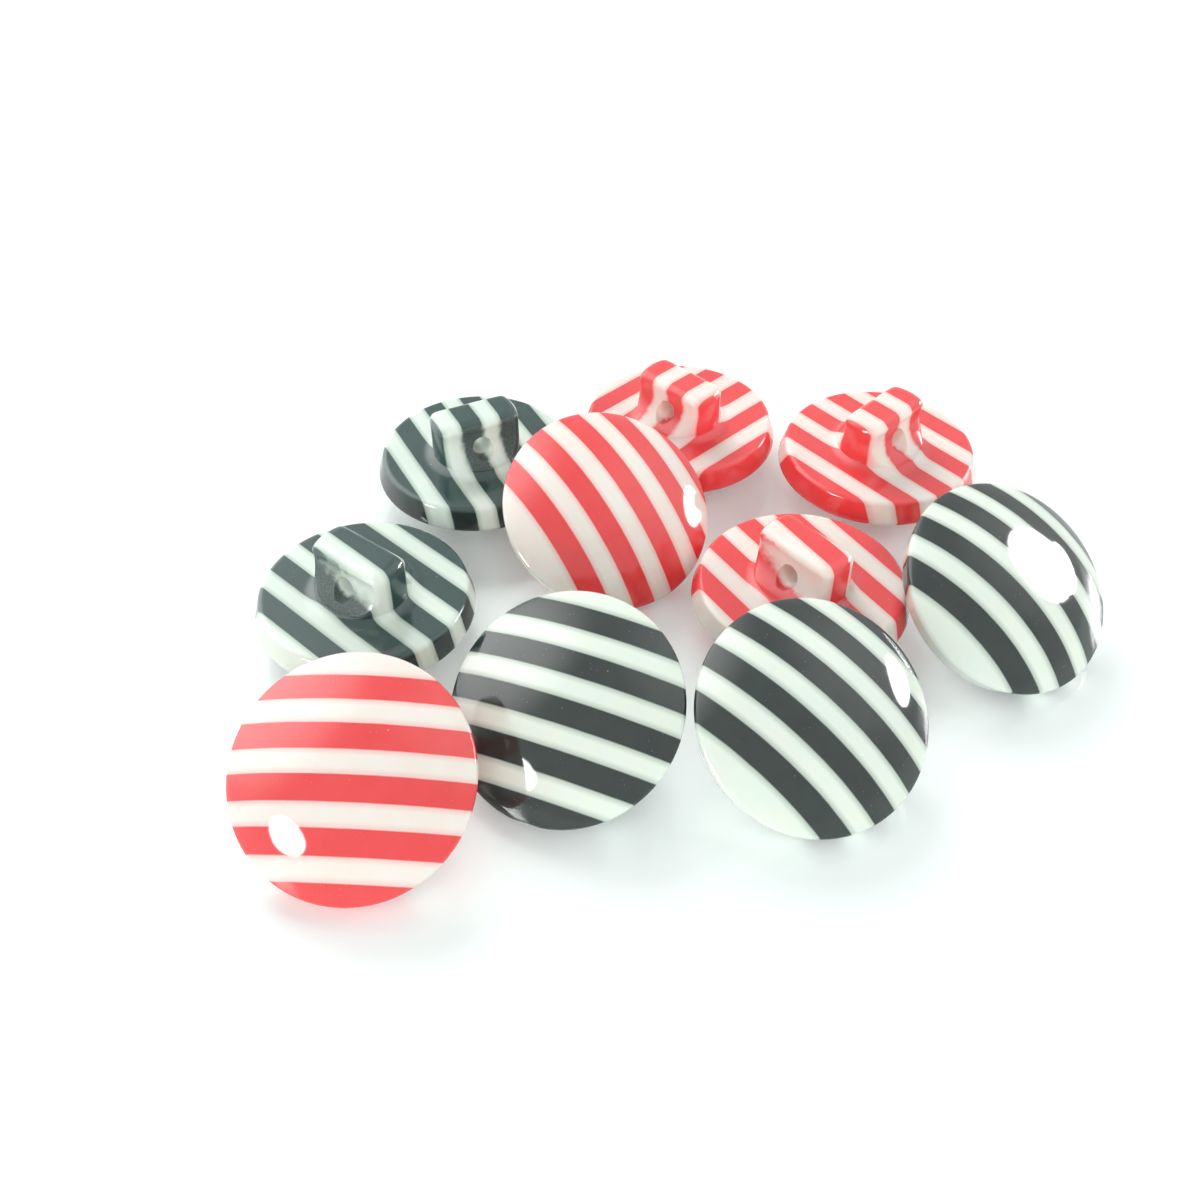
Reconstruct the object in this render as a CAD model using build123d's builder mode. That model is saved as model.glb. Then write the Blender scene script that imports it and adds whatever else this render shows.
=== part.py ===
"""Ten striped resin shank buttons, five red and five black, lying loose on a table.

Each button is one piece, turned from a block of resin and milled at the shank.
Millimetres, +Z up, with the origin on the table under the middle of the set.
"""
import os
from dataclasses import dataclass
from math import atan2, cos, degrees, radians, sin

from build123d import *

# Face, side and back of one button
button_diameter = 18.0
rim_radius = button_diameter / 2
dome_rise = 3.0
side_height = 2.0
side_taper = 0.5
back_radius = rim_radius - side_taper
back_bevel = 0.35

# Shank: a turned boss, milled away on two sides to a web with a thread hole across it
shank_height = 4.2
boss_radius = 3.9
web_thickness = 3.7
pad_flare = 0.5
pad_height = 0.35
pad_lip = 0.2
scoop_depth = 0.95
top_bevel = 0.6
thread_hole_diameter = 1.6
thread_hole_height = 1.65

# How far each cutter runs past the surface that it leaves
overcut = 1.0


@dataclass
class Place:
    """How one button lies in the set.

    The shares are parts of the button's diameter. The heading, in degrees, is the way a
    face-up button leans, from straight to the front, or the way a face-down shank points.
    """

    face_up: bool
    x_share: float
    y_share: float
    heading: float


places = {
    "red_button_1": Place(True, -1.327, -1.239, -9),
    "red_button_2": Place(True, -0.331, 0.363, 25),
    "red_button_3": Place(False, 0.548, -0.067, -48),
    "red_button_4": Place(False, 1.043, 0.93, 44),
    "red_button_5": Place(False, 0.044, 1.169, -44),
    "black_button_1": Place(True, -0.504, -0.881, -27),
    "black_button_2": Place(True, 0.497, -0.926, 22),
    "black_button_3": Place(True, 1.446, -0.166, 36),
    "black_button_4": Place(False, -1.423, -0.131, 143),
    "black_button_5": Place(False, -0.984, 0.888, 204),
}

# Heights on the turned profile, down from the rim
dome_radius = (rim_radius**2 + dome_rise**2) / (2 * dome_rise)
back_level = -side_height
back_flat_radius = back_radius - back_bevel
shank_level = back_level - shank_height
pad_level = back_level - pad_height
half_web = web_thickness / 2
half_top = half_web - top_bevel

# A face-up button rests on its back edge and on the near top edge of its shank
lean = degrees(atan2(shank_height, back_flat_radius - half_top))
lean_height = back_flat_radius * sin(radians(lean)) + side_height * cos(radians(lean))

with BuildPart() as turned_blank:
    with BuildSketch(Plane.XZ):
        with BuildLine():
            RadiusArc((0, dome_rise), (rim_radius, 0), dome_radius)
            Polyline(
                (rim_radius, 0),
                (back_radius, back_level + back_bevel),
                (back_flat_radius, back_level),
                (boss_radius + pad_flare, back_level),
                (boss_radius, pad_level),
                (boss_radius, shank_level + top_bevel),
                (boss_radius - top_bevel, shank_level),
                (0, shank_level),
                (0, dome_rise),
            )
        make_face()
    revolve(axis=Axis.Z)

with BuildPart() as button:
    add(turned_blank.part)
    with BuildSketch(Plane.YZ) as scoops:
        with BuildLine():
            scoop_foot = (boss_radius - pad_lip, pad_level)
            scoop_brow = (half_web, shank_level + top_bevel)
            Polyline(
                scoop_brow,
                (half_top, shank_level),
                (half_top, shank_level - overcut),
                (boss_radius + overcut, shank_level - overcut),
                (boss_radius + overcut, pad_level),
                scoop_foot,
            )
            SagittaArc(scoop_foot, scoop_brow, -scoop_depth)
        make_face()
        mirror(about=Plane.YZ)
    extrude(amount=boss_radius + overcut, both=True, mode=Mode.SUBTRACT)
    with Locations((0, 0, back_level - thread_hole_height)):
        Cylinder(thread_hole_diameter / 2, 2 * boss_radius, rotation=(90, 0, 0), mode=Mode.SUBTRACT)


def resting_place(place: Place) -> Location:
    """Returns where one button comes to rest, face up on its shank or face down on its dome."""
    x = place.x_share * button_diameter
    y = place.y_share * button_diameter
    if place.face_up:
        return Pos(x, y, lean_height) * Rot(0, 0, place.heading) * Rot(lean, 0, 0)
    return Pos(x, y, dome_rise) * Rot(0, 0, place.heading) * Rot(180, 0, 0)


os.makedirs("parts", exist_ok=True)
for name, place in places.items():
    with BuildPart() as placed_button:
        with Locations(resting_place(place)):
            add(button.part)
    placed_button.part.label = name
    export_step(placed_button.part, f"parts/{name}.step")
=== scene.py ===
"""Dresses ten striped resin shank buttons, five red and five black, on a plain white table.

Every button is turned by one Geometry Nodes tree from a rounded profile, milled at its shank
and bored for thread. Its layers of resin run right through it, so the stripes on its face go
on over the side, the back and the shank. Lengths inside a button are in millimetres, and the
tree scales its result to metres when it lays the button in its place.
"""

import logging
from dataclasses import dataclass, field
from enum import Enum
from math import asin, atan2, cos, degrees, pi, radians, sin
from typing import Any, Union

import bpy
from mathutils import Euler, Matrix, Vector


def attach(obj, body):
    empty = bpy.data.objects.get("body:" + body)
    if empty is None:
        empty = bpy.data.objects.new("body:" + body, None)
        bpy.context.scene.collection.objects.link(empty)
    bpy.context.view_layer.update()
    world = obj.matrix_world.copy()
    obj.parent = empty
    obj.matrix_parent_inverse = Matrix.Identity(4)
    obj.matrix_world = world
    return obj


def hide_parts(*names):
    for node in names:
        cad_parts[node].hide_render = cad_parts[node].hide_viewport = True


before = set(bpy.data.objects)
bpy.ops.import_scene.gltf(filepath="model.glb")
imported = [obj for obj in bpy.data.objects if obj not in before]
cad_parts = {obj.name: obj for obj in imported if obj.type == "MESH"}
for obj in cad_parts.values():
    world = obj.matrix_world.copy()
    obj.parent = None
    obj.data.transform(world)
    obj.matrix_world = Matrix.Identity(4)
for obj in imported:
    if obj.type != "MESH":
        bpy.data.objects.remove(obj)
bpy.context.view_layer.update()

Colour = tuple[float, float, float, float]
Triple = tuple[float, float, float]
Span = tuple[float, float]
Operand = Union["Value", float]

MILLIMETRE = 0.001
NOISE_MEAN = 0.5
WHITE: Colour = (1.0, 1.0, 1.0, 1.0)
UNLIT: Colour = (0.0, 0.0, 0.0, 1.0)

log = logging.getLogger("buttons")


class Value:
    """One output socket of a node tree, so that node maths reads as Python expressions."""

    def __init__(self, graph: "Graph", socket: bpy.types.NodeSocket) -> None:
        """Keeps the socket and the graph that it belongs to."""
        self.graph = graph
        self.socket = socket

    def __add__(self, other: Operand) -> "Value":
        """Adds."""
        return self.graph.maths("ADD", self, other)

    def __radd__(self, other: float) -> "Value":
        """Adds to a number."""
        return self.graph.maths("ADD", other, self)

    def __sub__(self, other: Operand) -> "Value":
        """Subtracts."""
        return self.graph.maths("SUBTRACT", self, other)

    def __rsub__(self, other: float) -> "Value":
        """Subtracts from a number."""
        return self.graph.maths("SUBTRACT", other, self)

    def __mul__(self, other: Operand) -> "Value":
        """Multiplies."""
        return self.graph.maths("MULTIPLY", self, other)

    def __rmul__(self, other: float) -> "Value":
        """Multiplies a number."""
        return self.graph.maths("MULTIPLY", other, self)

    def __truediv__(self, other: Operand) -> "Value":
        """Divides."""
        return self.graph.maths("DIVIDE", self, other)

    def __rtruediv__(self, other: float) -> "Value":
        """Divides a number."""
        return self.graph.maths("DIVIDE", other, self)

    def __pow__(self, other: Operand) -> "Value":
        """Raises to a power."""
        return self.graph.maths("POWER", self, other)

    def __gt__(self, other: Operand) -> "Value":
        """One where this is greater, else nought."""
        return self.graph.maths("GREATER_THAN", self, other)

    def __lt__(self, other: Operand) -> "Value":
        """One where this is less, else nought."""
        return self.graph.maths("LESS_THAN", self, other)

    def __abs__(self) -> "Value":
        """The size without its sign."""
        return self.graph.maths("ABSOLUTE", self)


class Graph:
    """A node tree with one way to add a node and one way to add maths."""

    def __init__(self, tree: bpy.types.NodeTree) -> None:
        """Starts from an empty tree.

        Args:
            tree: The shader or geometry node tree to fill.
        """
        self.tree = tree
        tree.nodes.clear()

    def node(
        self,
        kind: str,
        settings: dict[str, Any] | None = None,
        sockets: dict[str | int, Any] | None = None,
    ) -> bpy.types.Node:
        """Adds one node, with its settings made before its sockets.

        Args:
            kind: The node's type.
            settings: The node's own properties, such as an operation.
            sockets: Values or links for its inputs, by name or number.

        Returns:
            The new node.
        """
        made = self.tree.nodes.new(kind)
        for name, setting in (settings or {}).items():
            setattr(made, name, setting)
        for name, value in (sockets or {}).items():
            self.feed(made.inputs[name], value)
        return made

    def feed(self, socket: bpy.types.NodeSocket, value: Any) -> None:
        """Links a value to a socket, or writes a plain number, colour or vector on it.

        Args:
            socket: The input to fill.
            value: What it gets.
        """
        if isinstance(value, Value):
            self.tree.links.new(value.socket, socket)
        else:
            socket.default_value = value

    def out(
        self,
        kind: str,
        settings: dict[str, Any] | None = None,
        sockets: dict[str | int, Any] | None = None,
        output: str | int = 0,
    ) -> Value:
        """Adds one node and returns one of its outputs.

        Args:
            kind: The node's type.
            settings: The node's own properties.
            sockets: Values or links for its inputs.
            output: The name or number of the output.

        Returns:
            That output as a value.
        """
        return Value(self, self.node(kind, settings, sockets).outputs[output])

    def maths(self, operation: str, *values: Operand) -> Value:
        """Adds one Math node on numbers."""
        return self.out("ShaderNodeMath", {"operation": operation}, dict(enumerate(values)))

    def clamp(self, value: Value, low: Operand, high: Operand) -> Value:
        """Keeps a value between two others."""
        return self.maths("MINIMUM", self.maths("MAXIMUM", value, low), high)

    def smooth(self, value: Value, start: float, end: float) -> Value:
        """Goes softly from nought at start to one at end."""
        return self.out(
            "ShaderNodeMapRange",
            {"interpolation_type": "SMOOTHSTEP"},
            {"Value": value, "From Min": start, "From Max": end},
        )

    def parts(self, vector: Value) -> tuple[Value, Value, Value]:
        """Takes a vector apart into its three numbers."""
        x, y, z = self.node("ShaderNodeSeparateXYZ", sockets={0: vector}).outputs
        return Value(self, x), Value(self, y), Value(self, z)

    def join(self, x: Operand, y: Operand, z: Operand) -> Value:
        """Makes a vector of three numbers."""
        return self.out("ShaderNodeCombineXYZ", sockets={0: x, 1: y, 2: z})

    def blend(self, share: Operand, first: Any, second: Any) -> Value:
        """Mixes two colours by a share from nought to one."""
        return self.out(
            "ShaderNodeMix",
            {"data_type": "RGBA"},
            {0: share, 6: first, 7: second},
            output=2,
        )


class Lie(Enum):
    """Which side of a button is up."""

    UP = "face up, leaning on its shank"
    DOWN = "face down, with its shank up"


@dataclass
class ButtonForm:
    """The form of one button in millimetres, rim at height nought, face up and shank down.

    The fields from dome_rows on say where the turned outline has its points.
    """

    rim_radius: float = 9.0
    dome_rise: float = 3.0
    side_height: float = 2.0
    side_taper: float = 0.5
    back_bevel: float = 0.35
    shank_height: float = 4.2
    boss_radius: float = 3.9
    web_half: float = 1.85
    pad_flare: float = 0.5
    pad_height: float = 0.35
    pad_lip: float = 0.2
    scoop_depth: float = 0.95
    top_bevel: float = 0.6
    hole_radius: float = 0.8
    hole_height: float = 1.65
    rim_rounding: float = 0.45
    back_rounding: float = 0.48
    pad_rounding: float = 1.5
    top_rounding: float = 0.83
    floor_fall: float = 0.06
    dome_rows: int = 30
    side_shares: Triple = (0.32, 0.5, 0.66)
    back_insets: Span = (0.45, 0.8)
    cove_outsets: Span = (0.9, 0.6)
    floor_rows: int = 14
    web_rows: int = 26
    web_crowding: float = 1.4
    web_room: float = 0.12
    crown_rows: int = 12
    crown_room: float = 0.1

    @property
    def back_level(self) -> float:
        """Height of the flat back."""
        return -self.side_height

    @property
    def back_flat(self) -> float:
        """Radius of the flat back, inside its bevel."""
        return self.rim_radius - self.side_taper - self.back_bevel

    @property
    def pad_level(self) -> float:
        """Height of the low pad round the shank's foot."""
        return self.back_level - self.pad_height

    @property
    def top_level(self) -> float:
        """Height of the shank's far end."""
        return self.back_level - self.shank_height

    @property
    def hole_level(self) -> float:
        """Height of the middle of the thread hole."""
        return self.back_level - self.hole_height

    @property
    def brow_level(self) -> float:
        """Height where the flank of the web meets its eased top edge."""
        return self.top_level + self.top_bevel

    @property
    def lean(self) -> float:
        """Angle of a face-up button, on its back edge and its shank's top edge, in radians."""
        return atan2(self.shank_height, self.back_flat - (self.web_half - self.top_bevel))

    @property
    def lean_height(self) -> float:
        """Height of the middle of a leaning button's rim above the table."""
        return self.back_flat * sin(self.lean) + self.side_height * cos(self.lean)

    def scoop(self) -> Triple:
        """Works out the arc that the cutter leaves on each flank of the web.

        Returns:
            Its middle, as distance from the web's middle and height, and its radius.
        """
        foot = Vector((self.boss_radius - self.pad_lip, self.pad_level))
        brow = Vector((self.web_half, self.brow_level))
        chord = foot - brow
        radius = chord.length_squared / (8 * self.scoop_depth) + self.scoop_depth / 2
        outward = Vector((chord.y, -chord.x)).normalized()
        middle = (foot + brow) / 2 + outward * (radius - self.scoop_depth)
        return middle.x, middle.y, radius

    def profile(self) -> list[Triple]:
        """Lists the turned outline from the top of the dome to the end of the shank.

        Returns:
            Radius, height and corner rounding of each point.
        """
        slope = self.side_taper / (self.side_height - self.back_bevel)
        edge = self.rim_radius - slope * self.side_height
        pad = self.boss_radius + self.pad_flare
        points = self.dome()
        points.append((self.rim_radius, 0.0, self.rim_rounding))
        for share in self.side_shares:
            fall = self.side_height * share
            points.append((self.rim_radius - slope * fall, -fall, 0.0))
        points.append((edge, self.back_level, self.back_rounding))
        inner = [edge - inset for inset in self.back_insets]
        inner.append((edge + pad) / 2)
        inner.extend(pad + outset for outset in self.cove_outsets)
        points.extend((radius, self.back_level, 0.0) for radius in inner)
        points.append((pad, self.back_level, self.pad_rounding))
        return points + self.boss()

    def dome(self) -> list[Triple]:
        """Lists the outline of the face, from its middle to just short of the rim.

        Returns:
            Radius, height and corner rounding of each point.
        """
        ball = (self.rim_radius**2 + self.dome_rise**2) / (2 * self.dome_rise)
        spread = asin(self.rim_radius / ball)
        turns = [spread * row / self.dome_rows for row in range(self.dome_rows)]
        return [(ball * sin(t), self.dome_rise - ball * (1 - cos(t)), 0.0) for t in turns]

    def boss(self) -> list[Triple]:
        """Lists the outline of the boss, from its foot to the middle of its far end.

        Returns:
            Radius, height and corner rounding of each point.
        """
        low = self.pad_level - self.floor_fall
        high = self.top_level + self.top_rounding + self.web_room
        crown = self.boss_radius - self.top_rounding - self.crown_room
        levels = [self.pad_level]
        for row in range(1, self.floor_rows + 1):
            levels.append(self.pad_level - self.floor_fall * row / self.floor_rows)
        for row in range(1, self.web_rows + 1):
            levels.append(low + (high - low) * (row / self.web_rows) ** self.web_crowding)
        points: list[Triple] = [(self.boss_radius, level, 0.0) for level in levels]
        points.append((self.boss_radius, self.top_level, self.top_rounding))
        for row in range(self.crown_rows):
            points.append((crown * (1 - row / self.crown_rows), self.top_level, 0.0))
        points.append((0.0, self.top_level, 0.0))
        return points


@dataclass(frozen=True)
class Layers:
    """How the layers of resin lie in one button.

    The angle, in degrees, turns the layers about the button's own axis, and first is where the
    first coloured layer starts, measured across the layers from the axis.
    """

    angle: float
    first: float


@dataclass(frozen=True)
class Noise:
    """A cloudy pattern in a button's own frame, which can be drawn tighter along its axes."""

    scale: float
    detail: float
    stretch: Triple = (1.0, 1.0, 1.0)

    def read(self, g: Graph, own: Value) -> Value:
        """Adds the pattern to a graph.

        Args:
            g: The graph to add to.
            own: Place in the button's own frame.

        Returns:
            The pattern, from nought to one.
        """
        place = g.out("ShaderNodeVectorMath", {"operation": "MULTIPLY"}, {0: own, 1: self.stretch})
        sockets = {"Vector": place, "Scale": self.scale, "Detail": self.detail}
        return g.out("ShaderNodeTexNoise", None, sockets, "Fac")


@dataclass(frozen=True)
class Specks:
    """Tiny specks of one kind, one to a cell, with most of the cells left bare."""

    scale: float
    size: float
    bare: float
    core: float = 1 / 3

    def read(self, g: Graph, own: Value) -> Value:
        """Adds the specks to a graph.

        Args:
            g: The graph to add to.
            own: Place in the button's own frame.

        Returns:
            One on a speck, else nought.
        """
        sockets = {"Vector": own, "Scale": self.scale, "Randomness": 1.0}
        cells = g.node("ShaderNodeTexVoronoi", {"feature": "F1"}, sockets)
        distance = Value(g, cells.outputs["Distance"])
        tone, _, _ = g.parts(Value(g, cells.outputs["Color"]))
        return (1 - g.smooth(distance, self.size * self.core, self.size)) * (tone > self.bare)


@dataclass(frozen=True)
class CutFaces:
    """The faces that the cutter and the drill left, told from the polished ones by their place.

    Each gap says how far from an edge, in millimetres, a cut face starts and is full.
    """

    form: ButtonForm
    top_gap: Span = (0.25, 0.5)
    end_gap: Span = (0.35, 0.12)
    web_gap: Span = (0.25, 0.1)
    bore_gap: Span = (0.02, 0.1)
    mouth_gap: float = 0.3

    def find(self, g: Graph, own: Value) -> tuple[Value, Value]:
        """Adds the test for a cut face to a graph.

        Args:
            g: The graph to add to.
            own: Place in the button's own frame.

        Returns:
            One on a cut face, nought on a polished one, and one in the drilled hole, else nought.
        """
        form = self.form
        x, y, z = g.parts(own)
        below = 1 - g.smooth(z, form.pad_level - form.floor_fall, form.pad_level)
        under_top = g.smooth(z, *(form.top_level + gap for gap in self.top_gap))
        radius = g.maths("SQRT", x * x + y * y)
        within = 1 - g.smooth(radius, *(form.boss_radius - gap for gap in self.end_gap))
        middle, _, scoop = form.scoop()
        off_web = g.smooth(abs(y), *(middle - scoop - gap for gap in self.web_gap))
        rise = z - form.hole_level
        from_hole = g.maths("SQRT", x * x + rise * rise)
        bore = 1 - g.smooth(from_hole, *(form.hole_radius + gap for gap in self.bore_gap))
        mouth = g.smooth(abs(y), form.web_half - self.mouth_gap, form.web_half + self.mouth_gap)
        milled = below * under_top * within * g.maths("MAXIMUM", off_web, bore)
        return milled, below * (1 - mouth) * bore


@dataclass(frozen=True)
class ResinFinish:
    """The colours, the layers, the polish and the wear of one kind of layered resin, with painted
    shade at the joints of its milky layers, a painted sheen on its back and painted light in its
    bore.

    A span gives where an effect starts and where it is full, on the pattern that it follows.
    """

    slot: str
    coloured: Colour
    coloured_deep: Colour
    milky: Colour
    milky_warm: Colour
    # Painted shade: near each joint the milky layer darkens towards the coloured layer's tint,
    # standing for light that the translucent resin loses into that layer.
    milky_edge_painted_shade: Colour
    speck: Colour
    dust: Colour
    # Partly the frosted face that the drill leaves, partly painted light: the bore is paler than
    # drilled resin, standing for light that reaches into it through the hole and the resin.
    frost_and_painted_light: Colour
    # Painted sheen: the back is tinted lighter and cooler, standing for the surround's reflection
    # in its flat face.
    painted_sheen_tint: Colour
    painted_back_sheen: float
    grain: float
    scatter: Triple
    scatter_weight: float = 0.8
    scatter_depth: float = 1.3
    refraction: float = 1.54

    pitch: float = 3.58
    coloured_width: float = 1.86
    coloured_count: int = 5
    bleed: float = 0.13
    # Painted shade: how far into a milky layer the darker tint at its joints reaches, in
    # millimetres.
    joint_shade_width: float = 0.5
    waver: float = 0.025
    waver_noise: Noise = Noise(0.6, 3.0)
    blotch: float = 0.5
    blotch_bleed: float = 2.0
    blotch_noise: Noise = Noise(1.5, 2.0)

    cloud: Noise = Noise(0.45, 3.0)
    warm_span: Span = (0.3, 0.7)
    deep_span: Span = (0.3, 0.75)
    painted_sheen_span: Span = (0.1, 0.5)
    rasp: Noise = Noise(9.0, 5.0)
    rasp_span: Span = (0.4, 0.66)
    rasp_share: float = 0.6
    frost_and_light_share: float = 0.65
    inclusions: Specks = Specks(1.1, 0.06, 0.75)
    motes: Specks = Specks(4.5, 0.17, 0.78)
    mote_span: Span = (0.5, 0.62)
    mote_share: float = 0.6
    milky_specks: float = 0.25

    polish: float = 0.06
    smear: Noise = Noise(1.7, 4.0)
    smear_span: Span = (0.45, 0.8)
    smear_roughness: float = 0.03
    hairs: Noise = Noise(1.0, 4.0, (1.2, 16.0, 1.0))
    hair_span: Span = (0.62, 0.72)
    worn_span: Span = (0.4, 0.6)
    worn_roughness: float = 0.1
    milled_roughness: float = 0.08
    rubbed_roughness: float = 0.35
    marks: Noise = Noise(2.0, 6.0, (2.0, 9.0, 9.0))
    mark_depth: float = 0.06
    milled_marks: float = 0.15
    rubbed_marks: float = 0.85
    smear_marks: float = 0.01

    def material(self, form: ButtonForm) -> bpy.types.Material:
        """Makes the layered resin as a material.

        Args:
            form: The button's form, which tells the milled faces from the polished ones.

        Returns:
            The material, which reads the attributes that the button's tree stores.
        """
        made = bpy.data.materials.new(self.slot)
        made.use_nodes = True
        g = Graph(made.node_tree)
        layer = g.out("ShaderNodeAttribute", {"attribute_name": "layer"}, output="Fac")
        own = g.out("ShaderNodeAttribute", {"attribute_name": "own"}, output="Vector")
        milled, bore = CutFaces(form).find(g, own)
        stripes, depth = self.stripes(g, layer, own, milled)
        rubbed = milled * stripes * self.grain
        cloud = self.cloud.read(g, own)
        smear = self.smear.read(g, own)

        resin = self.resin(g, form, own, cloud, stripes, depth)
        rasp = g.smooth(self.rasp.read(g, own), *self.rasp_span)
        rasped = g.blend(rubbed * rasp * self.rasp_share, resin, self.dust)
        # Painted light in the bore: the drilled hole is mixed towards a pale colour, partly its
        # frosting, partly light that comes through the hole.
        frosted_and_lit = g.blend(bore * self.frost_and_light_share, rasped, self.frost_and_painted_light)

        worn = g.smooth(self.hairs.read(g, own), *self.hair_span) * g.smooth(cloud, *self.worn_span)
        roughness = (
            self.polish
            + self.smear_roughness * g.smooth(smear, *self.smear_span)
            + self.worn_roughness * worn
            + self.milled_roughness * milled
            + self.rubbed_roughness * rubbed
        )
        marked = self.milled_marks * milled + self.rubbed_marks * rubbed
        height = self.marks.read(g, own) * marked + smear * self.smear_marks
        bump = g.out(
            "ShaderNodeBump",
            None,
            {"Strength": 1.0, "Distance": self.mark_depth * MILLIMETRE, "Height": height},
            "Normal",
        )
        shader = g.out(
            "ShaderNodeBsdfPrincipled",
            None,
            {
                "Base Color": frosted_and_lit,
                "Roughness": roughness,
                "Normal": bump,
                "IOR": self.refraction,
                "Subsurface Weight": self.scatter_weight,
                "Subsurface Radius": self.scatter,
                "Subsurface Scale": self.scatter_depth * MILLIMETRE,
            },
        )
        g.node("ShaderNodeOutputMaterial", None, {"Surface": shader})
        return made

    def stripes(
        self, g: Graph, layer: Value, own: Value, milled: Value
    ) -> tuple[Value, Value]:
        """Tells coloured layers from milky ones, with a thin bleed and a slight waver at joints.

        A cut face can run almost along a joint, so there the bleed is wide and blotchy.

        Args:
            g: The graph to add to.
            layer: Distance across the layers from the start of the first coloured one.
            own: Place in the button's own frame.
            milled: One on a cut face, nought on a polished one.

        Returns:
            One in a coloured layer and nought in a milky one, and the way into the milky one
            from its nearest joint.
        """
        sway = (self.waver_noise.read(g, own) - NOISE_MEAN) * (2 * self.waver)
        blotch = (self.blotch_noise.read(g, own) - NOISE_MEAN) * milled * self.blotch
        across = layer + sway + blotch
        half = self.coloured_width / 2
        margin = self.pitch / 2 - half
        wrapped = g.maths("WRAP", across - half, self.pitch / 2, -self.pitch / 2)
        depth = abs(wrapped) - half
        softened = depth / (1.0 + self.blotch_bleed * milled)
        band = 1 - g.smooth(softened, -self.bleed / 2, self.bleed / 2)
        inside = (across > -margin) * (across < self.pitch * self.coloured_count - margin)
        return band * inside, depth + (1 - inside) * self.pitch

    def resin(
        self, g: Graph, form: ButtonForm, own: Value, cloud: Value, stripes: Value, depth: Value
    ) -> Value:
        """Colours the layers, with painted shade in the milky layers near their joints, a painted
        sheen on the back and a few specks.

        Args:
            g: The graph to add to.
            form: The button's form.
            own: Place in the button's own frame.
            cloud: Slow noise, from nought to one.
            stripes: One in a coloured layer and nought in a milky one.
            depth: The way into a milky layer from its nearest joint.

        Returns:
            The colour of the polished resin.
        """
        _, _, z = g.parts(own)
        # Painted sheen on the back: a lighter, cooler tint near the back's level, standing for the
        # reflection of the surround.
        behind = 1 - g.smooth(z, *(form.back_level + rise for rise in self.painted_sheen_span))
        heart = g.blend(g.smooth(cloud, *self.warm_span), self.milky, self.milky_warm)
        # Painted shade: the milky layer darkens towards its joints, standing for light lost into
        # the coloured layer.
        milky = g.blend(g.smooth(depth, 0.0, self.joint_shade_width), self.milky_edge_painted_shade, heart)
        coloured = g.blend(g.smooth(cloud, *self.deep_span), self.coloured, self.coloured_deep)
        layered = g.blend(stripes, milky, coloured)
        sheened = g.blend(behind * self.painted_back_sheen, layered, self.painted_sheen_tint)
        drifts = g.smooth(cloud, *self.mote_span) * self.mote_share
        inclusions = self.inclusions.read(g, own)
        specks = g.maths("MAXIMUM", inclusions, self.motes.read(g, own) * drifts)
        shown = self.milky_specks + (1 - self.milky_specks) * stripes
        return g.blend(specks * shown, sheened, self.speck)


RED_RESIN = ResinFinish(
    slot="red_resin",
    coloured=(0.88, 0.082, 0.088, 1.0),
    coloured_deep=(0.86, 0.070, 0.075, 1.0),
    milky=(0.98, 0.87, 0.82, 1.0),
    milky_warm=(0.98, 0.84, 0.78, 1.0),
    # painted shade at the joints of the milky layers
    milky_edge_painted_shade=(0.96, 0.66, 0.62, 1.0),
    speck=(0.92, 0.6, 0.58, 1.0),
    dust=(0.9, 0.66, 0.62, 1.0),
    # partly frosting, partly painted light in the bore
    frost_and_painted_light=(0.99, 0.80, 0.73, 1.0),
    # painted sheen on the back
    painted_sheen_tint=(0.85, 0.3, 0.3, 1.0),
    painted_back_sheen=0.02,
    grain=0.0,
    scatter=(1.0, 0.45, 0.4),
)
BLACK_RESIN = ResinFinish(
    slot="black_resin",
    coloured=(0.033, 0.051, 0.046, 1.0),
    coloured_deep=(0.028, 0.043, 0.040, 1.0),
    milky=(0.82, 0.90, 0.82, 1.0),
    milky_warm=(0.85, 0.90, 0.81, 1.0),
    # painted shade at the joints of the milky layers
    milky_edge_painted_shade=(0.56, 0.64, 0.565, 1.0),
    speck=(0.45, 0.5, 0.48, 1.0),
    dust=(0.2, 0.21, 0.19, 1.0),
    # partly frosting, partly painted light in the bore
    frost_and_painted_light=(0.8, 0.85, 0.79, 1.0),
    # painted sheen on the back
    painted_sheen_tint=(0.25, 0.75, 0.72, 1.0),
    painted_back_sheen=0.06,
    grain=1.0,
    scatter=(0.7, 0.8, 0.7),
)


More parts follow.
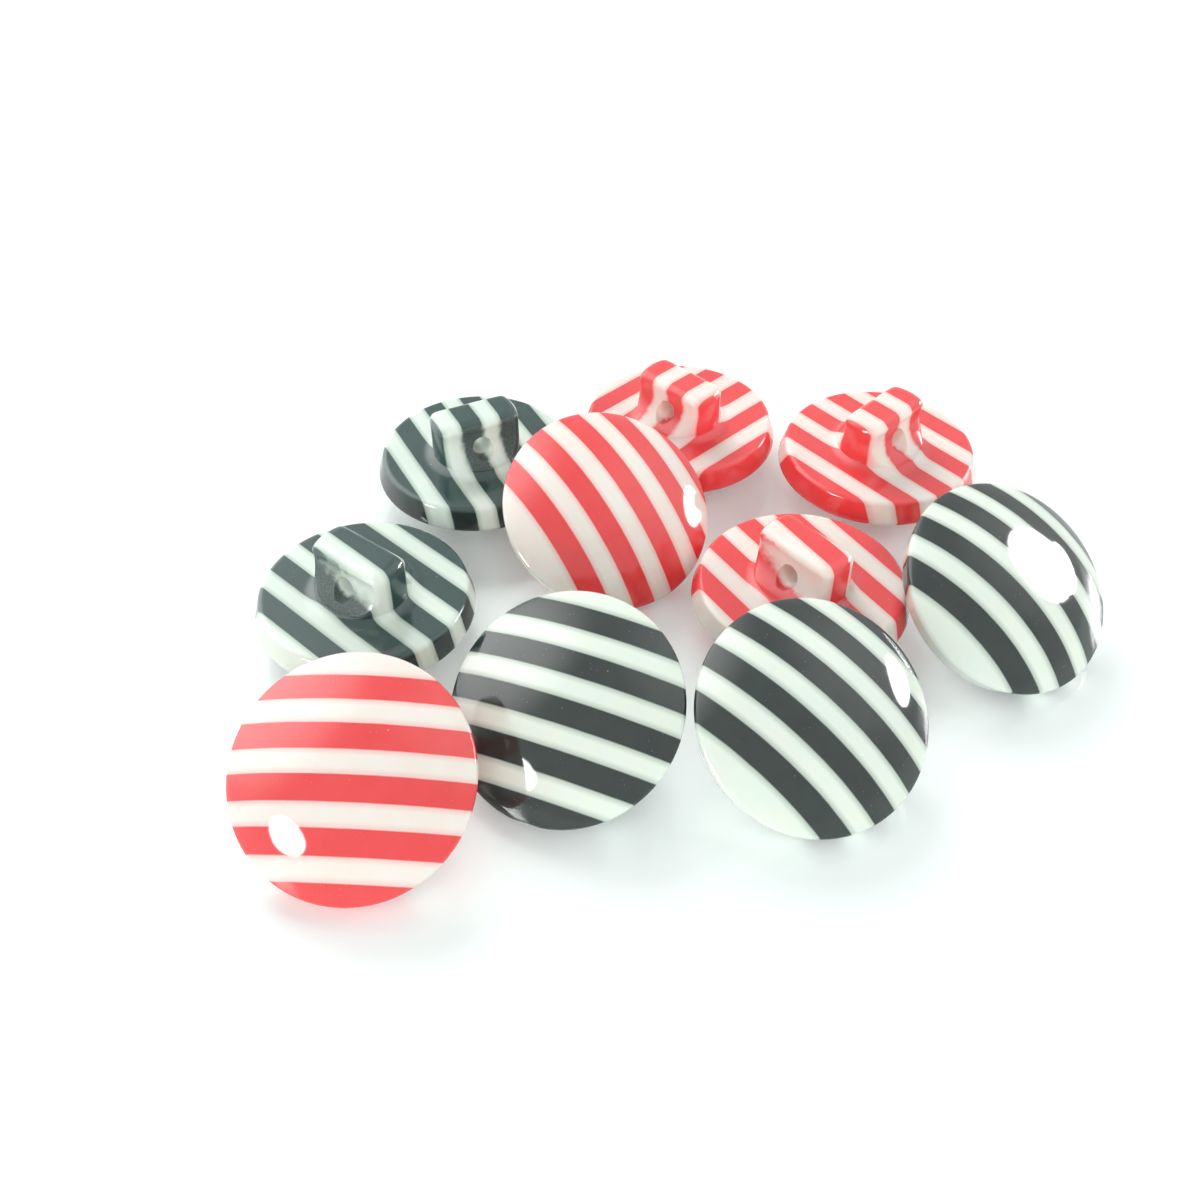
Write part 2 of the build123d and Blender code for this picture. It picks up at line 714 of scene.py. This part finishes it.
class ButtonTree:
    """The Geometry Nodes tree that turns, mills, bores and lays one button.

    The lengths that it holds itself are in millimetres, like its inputs.
    """

    INPUTS: tuple[tuple[str, str], ...] = (
        ("Steps round", "NodeSocketInt"),
        ("Corner steps", "NodeSocketInt"),
        ("Boss radius", "NodeSocketFloat"),
        ("Web half", "NodeSocketFloat"),
        ("Pad level", "NodeSocketFloat"),
        ("Floor fall", "NodeSocketFloat"),
        ("Scoop middle", "NodeSocketFloat"),
        ("Scoop level", "NodeSocketFloat"),
        ("Scoop radius", "NodeSocketFloat"),
        ("Brow level", "NodeSocketFloat"),
        ("Top level", "NodeSocketFloat"),
        ("Top rounding", "NodeSocketFloat"),
        ("Edge sharpness", "NodeSocketFloat"),
        ("Hole radius", "NodeSocketFloat"),
        ("Hole level", "NodeSocketFloat"),
        ("Hole flare", "NodeSocketFloat"),
        ("Layer angle", "NodeSocketFloat"),
        ("Layer start", "NodeSocketFloat"),
        ("Place", "NodeSocketVector"),
        ("Turn", "NodeSocketVector"),
        ("Resin", "NodeSocketMaterial"),
    )
    CREASE: float = radians(50)
    TURNED_DOUBLES: float = 0.004
    BORED_DOUBLES: float = 0.003
    BROW_BLEND: float = 0.2
    CLEARANCE: float = 1.5
    LEAST_SINE: float = 0.001
    LEAST_CUT: float = 0.0005
    DRILL_SIDES: int = 56
    DRILL_ROWS: int = 40
    DRILL_LENGTH: float = 3.0
    FLARE_INSET: float = 0.4
    FLARE_LENGTH: float = 0.55

    def __init__(self) -> None:
        """Makes the tree and its named inputs."""
        self.tree = bpy.data.node_groups.new("turned_button", "GeometryNodeTree")
        self.graph = Graph(self.tree)
        self.sockets: dict[str, str] = {}
        sockets = self.tree.interface
        sockets.new_socket("Geometry", in_out="INPUT", socket_type="NodeSocketGeometry")
        for name, kind in self.INPUTS:
            made = sockets.new_socket(name, in_out="INPUT", socket_type=kind)
            self.sockets[name] = made.identifier
        sockets.new_socket("Geometry", in_out="OUTPUT", socket_type="NodeSocketGeometry")
        self.entry = self.graph.node("NodeGroupInput")
        self.fill()

    def given(self, name: str) -> Value:
        """Returns one of the tree's inputs as a value."""
        return Value(self.graph, self.entry.outputs[name])

    def fill(self) -> None:
        """Adds the nodes, from the profile to the button in its place."""
        g = self.graph
        bored = g.out(
            "GeometryNodeMeshBoolean",
            {"operation": "DIFFERENCE", "solver": "EXACT"},
            {"Mesh 1": self.turn(), "Mesh 2": self.drill()},
            "Mesh",
        )
        closed = g.out(
            "GeometryNodeMergeByDistance", None, {0: bored, "Distance": self.BORED_DOUBLES}
        )
        laid = g.out(
            "GeometryNodeTransform",
            None,
            {
                0: self.mark(self.shade(closed)),
                "Translation": self.given("Place"),
                "Rotation": self.given("Turn"),
                "Scale": (MILLIMETRE, MILLIMETRE, MILLIMETRE),
            },
        )
        real = g.out("GeometryNodeRealizeInstances", None, {0: laid})
        resin = {0: real, "Material": self.given("Resin")}
        dressed = g.out("GeometryNodeSetMaterial", None, resin)
        g.node("NodeGroupOutput", None, {0: dressed})

    def shade(self, body: Value) -> Value:
        """Shades the body smoothly, apart from its sharp edges.

        Args:
            body: The bored body.

        Returns:
            The same body, shaded.
        """
        g = self.graph
        smooth = g.out(
            "GeometryNodeSetShadeSmooth", {"domain": "FACE"}, {0: body, "Shade Smooth": True}
        )
        creased = g.out("GeometryNodeInputMeshEdgeAngle") > self.CREASE
        return g.out(
            "GeometryNodeSetShadeSmooth",
            {"domain": "EDGE"},
            {0: smooth, "Selection": creased, "Shade Smooth": False},
        )

    def mark(self, body: Value) -> Value:
        """Stores what the resin's material reads: the layer and the place in the button.

        Args:
            body: The body before it is laid in its place.

        Returns:
            The same body with the attributes layer and own.
        """
        g = self.graph
        own = g.out("GeometryNodeInputPosition")
        x, y, _ = g.parts(own)
        angle = self.given("Layer angle")
        across = y * g.maths("COSINE", angle) - x * g.maths("SINE", angle)
        layered = g.out(
            "GeometryNodeStoreNamedAttribute",
            {"data_type": "FLOAT", "domain": "POINT"},
            {0: body, "Name": "layer", "Value": across - self.given("Layer start")},
        )
        return g.out(
            "GeometryNodeStoreNamedAttribute",
            {"data_type": "FLOAT_VECTOR", "domain": "POINT"},
            {0: layered, "Name": "own", "Value": own},
        )

    def turn(self) -> Value:
        """Turns the profile about the axis and mills the two sides of its shank.

        Returns:
            The closed body, before it is bored.
        """
        g = self.graph
        outline = g.out("GeometryNodeMeshToCurve", None, {0: self.given("Geometry")})
        rounding = g.out(
            "GeometryNodeInputNamedAttribute",
            {"data_type": "FLOAT"},
            {"Name": "rounding"},
            "Attribute",
        )
        eased = g.out(
            "GeometryNodeFilletCurve",
            {"mode": "POLY"},
            {
                0: outline,
                "Count": self.given("Corner steps"),
                "Radius": rounding,
                "Limit Radius": True,
            },
        )
        rows = g.out(
            "GeometryNodeAttributeDomainSize", {"component": "CURVE"}, {0: eased}, "Point Count"
        )
        columns = self.given("Steps round")
        sheet = g.out(
            "GeometryNodeMeshGrid", None, {"Vertices X": columns + 1, "Vertices Y": rows}, "Mesh"
        )
        index = g.out("GeometryNodeInputIndex")
        row = g.maths("MODULO", index, rows)
        column = g.maths("FLOOR", (index + 0.5) / rows)
        point = g.out(
            "GeometryNodeSampleIndex",
            {"data_type": "FLOAT_VECTOR", "domain": "POINT"},
            {0: eased, "Value": g.out("GeometryNodeInputPosition"), "Index": row},
        )
        radius, _, height = g.parts(point)
        turn = column / columns * (2 * pi)
        kept = self.mill(radius, height, turn)
        place = g.join(kept * g.maths("COSINE", turn), kept * g.maths("SINE", turn), height)
        swept = g.out("GeometryNodeSetPosition", None, {0: sheet, "Position": place})
        return g.out(
            "GeometryNodeMergeByDistance", None, {0: swept, "Distance": self.TURNED_DOUBLES}
        )

    def mill(self, radius: Value, height: Value, turn: Value) -> Value:
        """Narrows the round boss to a web, with a scooped foot and rounded edges.

        Args:
            radius: Distance from the axis on the turned outline.
            height: Height on the turned outline.
            turn: Angle about the axis.

        Returns:
            The distance from the axis that the cutter leaves.
        """
        g = self.graph
        scoop = self.given("Scoop radius")
        rounding = self.given("Top rounding")
        below = self.given("Pad level") - height
        eased = g.maths("SMOOTH_MAX", height, self.given("Brow level"), self.BROW_BLEND)
        level = eased - self.given("Scoop level")
        chord = g.maths("SQRT", g.maths("MAXIMUM", scoop * scoop - level * level, 0.0))
        flank = self.given("Scoop middle") - chord
        brow = g.clamp(rounding - (height - self.given("Top level")), 0.0, rounding)
        wall = flank - (rounding - g.maths("SQRT", rounding * rounding - brow * brow))
        limit = wall / g.maths("MAXIMUM", abs(g.maths("SINE", turn)), self.LEAST_SINE)
        clear = self.given("Boss radius") * self.CLEARANCE
        depth = g.clamp(below / self.given("Floor fall"), 0.0, 1.0)
        reach = clear + (limit - clear) * depth
        sharp = self.given("Edge sharpness")
        cut = radius * (1.0 + (radius / reach) ** sharp) ** (-1.0 / sharp)
        return radius + (cut - radius) * (below > self.LEAST_CUT)

    def drill(self) -> Value:
        """Makes the cutter of the thread hole, which flares where it leaves the web.

        Returns:
            The cutter as a closed mesh across the web.
        """
        g = self.graph
        half = self.given("Web half")
        rod = g.out(
            "GeometryNodeMeshCylinder",
            {"fill_type": "NGON"},
            {
                "Vertices": self.DRILL_SIDES,
                "Side Segments": self.DRILL_ROWS,
                "Radius": self.given("Hole radius"),
                "Depth": half * self.DRILL_LENGTH,
            },
            "Mesh",
        )
        x, y, z = g.parts(g.out("GeometryNodeInputPosition"))
        out = g.clamp((abs(z) - half + self.FLARE_INSET) / self.FLARE_LENGTH, 0.0, 1.0)
        grow = 1.0 + self.given("Hole flare") * out * out
        place = g.join(x * grow, y * grow, z)
        flared = g.out("GeometryNodeSetPosition", None, {0: rod, "Position": place})
        return g.out(
            "GeometryNodeTransform",
            None,
            {
                0: flared,
                "Translation": g.join(0.0, 0.0, self.given("Hole level")),
                "Rotation": (pi / 2, 0.0, 0.0),
            },
        )


@dataclass
class StripedButton:
    """One button of the set: its form, its layers and how it lies on the table.

    Its place is in shares of its diameter, and its heading in degrees about the upright.
    """

    node: str
    finish: ResinFinish
    lie: Lie
    x_share: float
    y_share: float
    heading: float
    layers: Layers
    form: ButtonForm = field(default_factory=ButtonForm)
    steps_round: int = 192
    corner_steps: int = 7
    edge_sharpness: float = 18.0
    hole_flare: float = 0.3

    def place(self) -> tuple[Triple, Triple]:
        """Works out where the button rests.

        Returns:
            The place of its rim's middle in metres, and its turn as Euler angles.
        """
        diameter = 2 * self.form.rim_radius
        up = self.lie is Lie.UP
        height = self.form.lean_height if up else self.form.dome_rise
        tilt = self.form.lean if up else pi
        spot = (self.x_share * diameter, self.y_share * diameter, height)
        return tuple(c * MILLIMETRE for c in spot), (tilt, 0.0, radians(self.heading))

    def build(self, tree: ButtonTree, resin: bpy.types.Material) -> bpy.types.Object:
        """Turns the button from its profile and leaves it as a plain mesh in its place.

        Args:
            tree: The tree that shapes it.
            resin: Its material.

        Returns:
            The finished piece.
        """
        points = self.form.profile()
        corners = [(radius, 0.0, height) for radius, height, _ in points]
        edges = [(start, start + 1) for start in range(len(points) - 1)]
        outline = bpy.data.meshes.new(self.node + "_outline")
        outline.from_pydata(corners, edges, [])
        rounding = outline.attributes.new("rounding", "FLOAT", "POINT")
        rounding.data.foreach_set("value", [rounded for _, _, rounded in points])
        piece = bpy.data.objects.new(self.node + "_resin", outline)
        bpy.context.scene.collection.objects.link(piece)
        modifier = piece.modifiers.new("turned", "NODES")
        modifier.node_group = tree.tree
        for name, value in self.inputs(resin).items():
            modifier[tree.sockets[name]] = value
        graph = bpy.context.evaluated_depsgraph_get()
        turned = bpy.data.meshes.new_from_object(piece.evaluated_get(graph), depsgraph=graph)
        piece.modifiers.clear()
        piece.data = turned
        turned.name = piece.name
        bpy.data.meshes.remove(outline)
        return piece

    def inputs(self, resin: bpy.types.Material) -> dict[str, Any]:
        """Lists the tree's inputs for this button.

        Args:
            resin: Its material.

        Returns:
            The value of each input, by the input's name.
        """
        form = self.form
        spot, turn = self.place()
        middle, level, radius = form.scoop()
        return {
            "Steps round": self.steps_round,
            "Corner steps": self.corner_steps,
            "Boss radius": form.boss_radius,
            "Web half": form.web_half,
            "Pad level": form.pad_level,
            "Floor fall": form.floor_fall,
            "Scoop middle": middle,
            "Scoop level": level,
            "Scoop radius": radius,
            "Brow level": form.brow_level,
            "Top level": form.top_level,
            "Top rounding": form.top_rounding,
            "Edge sharpness": self.edge_sharpness,
            "Hole radius": form.hole_radius,
            "Hole level": form.hole_level,
            "Hole flare": self.hole_flare,
            "Layer angle": radians(self.layers.angle),
            "Layer start": self.layers.first,
            "Place": spot,
            "Turn": turn,
            "Resin": resin,
        }

    def dress(self, piece: bpy.types.Object) -> None:
        """Lets the piece stand for its solid: hangs it from the root body and hides the solid.

        Args:
            piece: The finished piece.
        """
        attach(piece, "root")
        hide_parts(self.node)


BUTTONS: tuple[StripedButton, ...] = (
    StripedButton("red_button_1", RED_RESIN, Lie.UP, -1.327, -1.239, -9, Layers(5, -9.23)),
    StripedButton("red_button_2", RED_RESIN, Lie.UP, -0.331, 0.363, 25, Layers(-78, -6.45)),
    StripedButton("red_button_3", RED_RESIN, Lie.DOWN, 0.548, -0.067, -48, Layers(9, -8.6)),
    StripedButton("red_button_4", RED_RESIN, Lie.DOWN, 1.043, 0.93, 44, Layers(93, -7.17)),
    StripedButton("red_button_5", RED_RESIN, Lie.DOWN, 0.044, 1.169, -44, Layers(93, -9.03)),
    StripedButton("black_button_1", BLACK_RESIN, Lie.UP, -0.504, -0.881, -27, Layers(4, -8.85)),
    StripedButton("black_button_2", BLACK_RESIN, Lie.UP, 0.497, -0.926, 22, Layers(-61, -6.6)),
    StripedButton("black_button_3", BLACK_RESIN, Lie.UP, 1.446, -0.166, 36, Layers(-76, -6.85)),
    StripedButton("black_button_4", BLACK_RESIN, Lie.DOWN, -1.423, -0.131, 143, Layers(6, -7.3)),
    StripedButton("black_button_5", BLACK_RESIN, Lie.DOWN, -0.984, 0.888, 204, Layers(86, -9.0)),
)


def towards(azimuth: float, elevation: float) -> Vector:
    """Turns a compass way from the set, in degrees, into a direction.

    Args:
        azimuth: Degrees from straight behind the set towards the right.
        elevation: Degrees up from the table.

    Returns:
        The direction, of length one.
    """
    turn, rise = radians(azimuth), radians(elevation)
    return Vector((sin(turn) * cos(rise), cos(turn) * cos(rise), sin(rise)))


class Task(Enum):
    """What a lamp is there for."""

    LIGHT = "lights the set without a reflection of its own"
    GLEAM = "shows in polished surfaces and adds no light to the set"


@dataclass(frozen=True)
class Lamp:
    """One soft lamp, given by the way to it from the set, in degrees, and its size in metres.

    Where only names a piece, no other piece gets the lamp's light.
    """

    name: str
    task: Task
    azimuth: float
    elevation: float
    distance: float
    width: float
    height: float
    power: float
    only: str = ""

    def build(self) -> None:
        """Hangs the lamp so that it faces the set."""
        data = bpy.data.lights.new(self.name, "AREA")
        data.shape = "ELLIPSE"
        data.size = self.width
        data.size_y = self.height
        data.energy = self.power
        lamp = bpy.data.objects.new(self.name, data)
        bpy.context.scene.collection.objects.link(lamp)
        way = towards(self.azimuth, self.elevation)
        lamp.location = way * self.distance
        lamp.rotation_euler = way.to_track_quat("Z", "Y").to_euler()
        lamp.visible_camera = False
        lamp.visible_diffuse = self.task is Task.LIGHT
        lamp.visible_glossy = self.task is Task.GLEAM
        if self.only:
            receivers = bpy.data.collections.new(self.name + "_receivers")
            receivers.objects.link(bpy.data.objects[self.only])
            lamp.light_linking.receiver_collection = receivers


@dataclass(frozen=True)
class Glow:
    """A bright patch of the surround that shows in polished faces, placed and sized in degrees."""

    azimuth: float
    elevation: float
    reach: float
    strength: float


@dataclass
class Studio:
    """The white table, the soft light and the camera, in metres and degrees."""

    floor_size: float = 6.0
    floor_colour: Colour = (0.87, 0.93, 0.92, 1.0)
    floor_lift: float = 0.18
    floor_roughness: float = 0.14
    world_strength: float = 0.35
    world_tint: Colour = (0.9, 1.0, 0.96, 1.0)
    glows: tuple[Glow, ...] = (Glow(-62.0, 32.0, 46.0, 3.0), Glow(75.0, 45.0, 42.0, 0.8))
    camera_place: Triple = (-0.006552, -0.081306, 0.080)
    camera_fall: float = 44.0
    camera_lens: float = 40.5
    camera_sensor: float = 36.0
    camera_near: float = 0.005
    lamps: tuple[Lamp, ...] = (
        Lamp("key_softbox", Task.LIGHT, -22.0, 35.0, 0.45, 0.36, 0.22, 1.5),
        Lamp("front_softbox", Task.LIGHT, 180.0, 46.0, 0.45, 0.4, 0.4, 0.4),
        Lamp("low_softbox", Task.LIGHT, 175.0, 17.0, 0.45, 0.6, 0.15, 0.65),
        Lamp("left_softbox", Task.LIGHT, -122.0, 24.0, 0.25, 0.15, 0.1, 0.12),
        Lamp("right_softbox", Task.LIGHT, 85.0, 30.0, 0.25, 0.15, 0.1, 0.15),
        Lamp("right_gleam", Task.GLEAM, 70.0, 13.0, 0.6, 0.24, 0.15, 1.9),
        Lamp("left_gleam", Task.GLEAM, -129.0, 14.0, 0.5, 0.19, 0.14, 1.75),
        Lamp(
            "upper_gleam", Task.GLEAM, 77.0, 29.0, 0.2, 0.125, 0.135, 0.83, "black_button_3_resin"
        ),
    )

    def build(self) -> None:
        """Makes the table, the light and the camera."""
        self.build_floor()
        self.build_world()
        for lamp in self.lamps:
            lamp.build()
        self.build_camera()

    def seen(self, g: Graph) -> Value:
        """Tells the rays that show a surface from those that only carry its light.

        Args:
            g: The graph to add to.

        Returns:
            One for rays from the camera, or by way of gloss or glass, else nought.
        """
        path = g.node("ShaderNodeLightPath")
        camera = Value(g, path.outputs["Is Camera Ray"])
        gloss = Value(g, path.outputs["Is Glossy Ray"])
        glass = Value(g, path.outputs["Is Transmission Ray"])
        return g.clamp(camera + gloss + glass, 0.0, 1.0)

    def build_floor(self) -> None:
        """Lays the table top, white to the eye and keeping the set's shadows."""
        half = self.floor_size / 2
        corners = [(-half, -half, 0), (half, -half, 0), (half, half, 0), (-half, half, 0)]
        mesh = bpy.data.meshes.new("table_top")
        mesh.from_pydata(corners, [], [(0, 1, 2, 3)])
        top = bpy.data.objects.new("table_top", mesh)
        bpy.context.scene.collection.objects.link(top)
        material = bpy.data.materials.new("white_table")
        material.use_nodes = True
        g = Graph(material.node_tree)
        shader = g.out(
            "ShaderNodeBsdfPrincipled",
            None,
            {
                "Base Color": self.floor_colour,
                "Roughness": self.floor_roughness,
                "Emission Color": g.blend(self.seen(g), UNLIT, WHITE),
                "Emission Strength": self.floor_lift,
            },
        )
        g.node("ShaderNodeOutputMaterial", None, {"Surface": shader})
        mesh.materials.append(material)

    def build_world(self) -> None:
        """Surrounds the set with even light, and with soft glows that polished faces mirror."""
        world = bpy.data.worlds.new("white_surround")
        bpy.context.scene.world = world
        world.use_nodes = True
        g = Graph(world.node_tree)
        seen = self.seen(g)
        way = g.out("ShaderNodeTexCoord", output="Generated")
        glossy = g.out("ShaderNodeLightPath", output="Is Glossy Ray")
        strength = self.world_strength + seen * (1.0 - self.world_strength)
        for glow in self.glows:
            middle = tuple(towards(glow.azimuth, glow.elevation))
            facing = g.out(
                "ShaderNodeVectorMath", {"operation": "DOT_PRODUCT"}, {0: way, 1: middle}, "Value"
            )
            patch = g.smooth(facing, cos(radians(glow.reach)), 1.0)
            strength = strength + patch * glossy * glow.strength
        tint = g.blend(seen, self.world_tint, WHITE)
        light = g.out("ShaderNodeBackground", None, {"Color": tint, "Strength": strength})
        g.node("ShaderNodeOutputWorld", None, {"Surface": light})

    def build_camera(self) -> None:
        """Stands the camera where the photograph was taken from."""
        data = bpy.data.cameras.new("camera")
        data.sensor_width = self.camera_sensor
        data.lens = self.camera_lens
        data.clip_start = self.camera_near
        camera = bpy.data.objects.new("camera", data)
        bpy.context.scene.collection.objects.link(camera)
        camera.location = self.camera_place
        camera.rotation_euler = Euler((radians(90.0 - self.camera_fall), 0.0, 0.0))
        bpy.context.scene.camera = camera


def main() -> None:
    """Builds the buttons in order, then the studio."""
    logging.basicConfig(level=logging.INFO, format="%(name)s: %(message)s")
    tree = ButtonTree()
    resins: dict[str, bpy.types.Material] = {}
    for button in BUTTONS:
        slot = button.finish.slot
        if slot not in resins:
            resins[slot] = button.finish.material(button.form)
        piece = button.build(tree, resins[slot])
        button.dress(piece)
        log.info("%s, %s: %d faces", piece.name, button.lie.value, len(piece.data.polygons))
    Studio().build()
    scene = bpy.context.scene
    scene.view_settings.view_transform = "Standard"
    log.info("lean %.1f degrees", degrees(ButtonForm().lean))


if __name__ == "__main__":
    main()
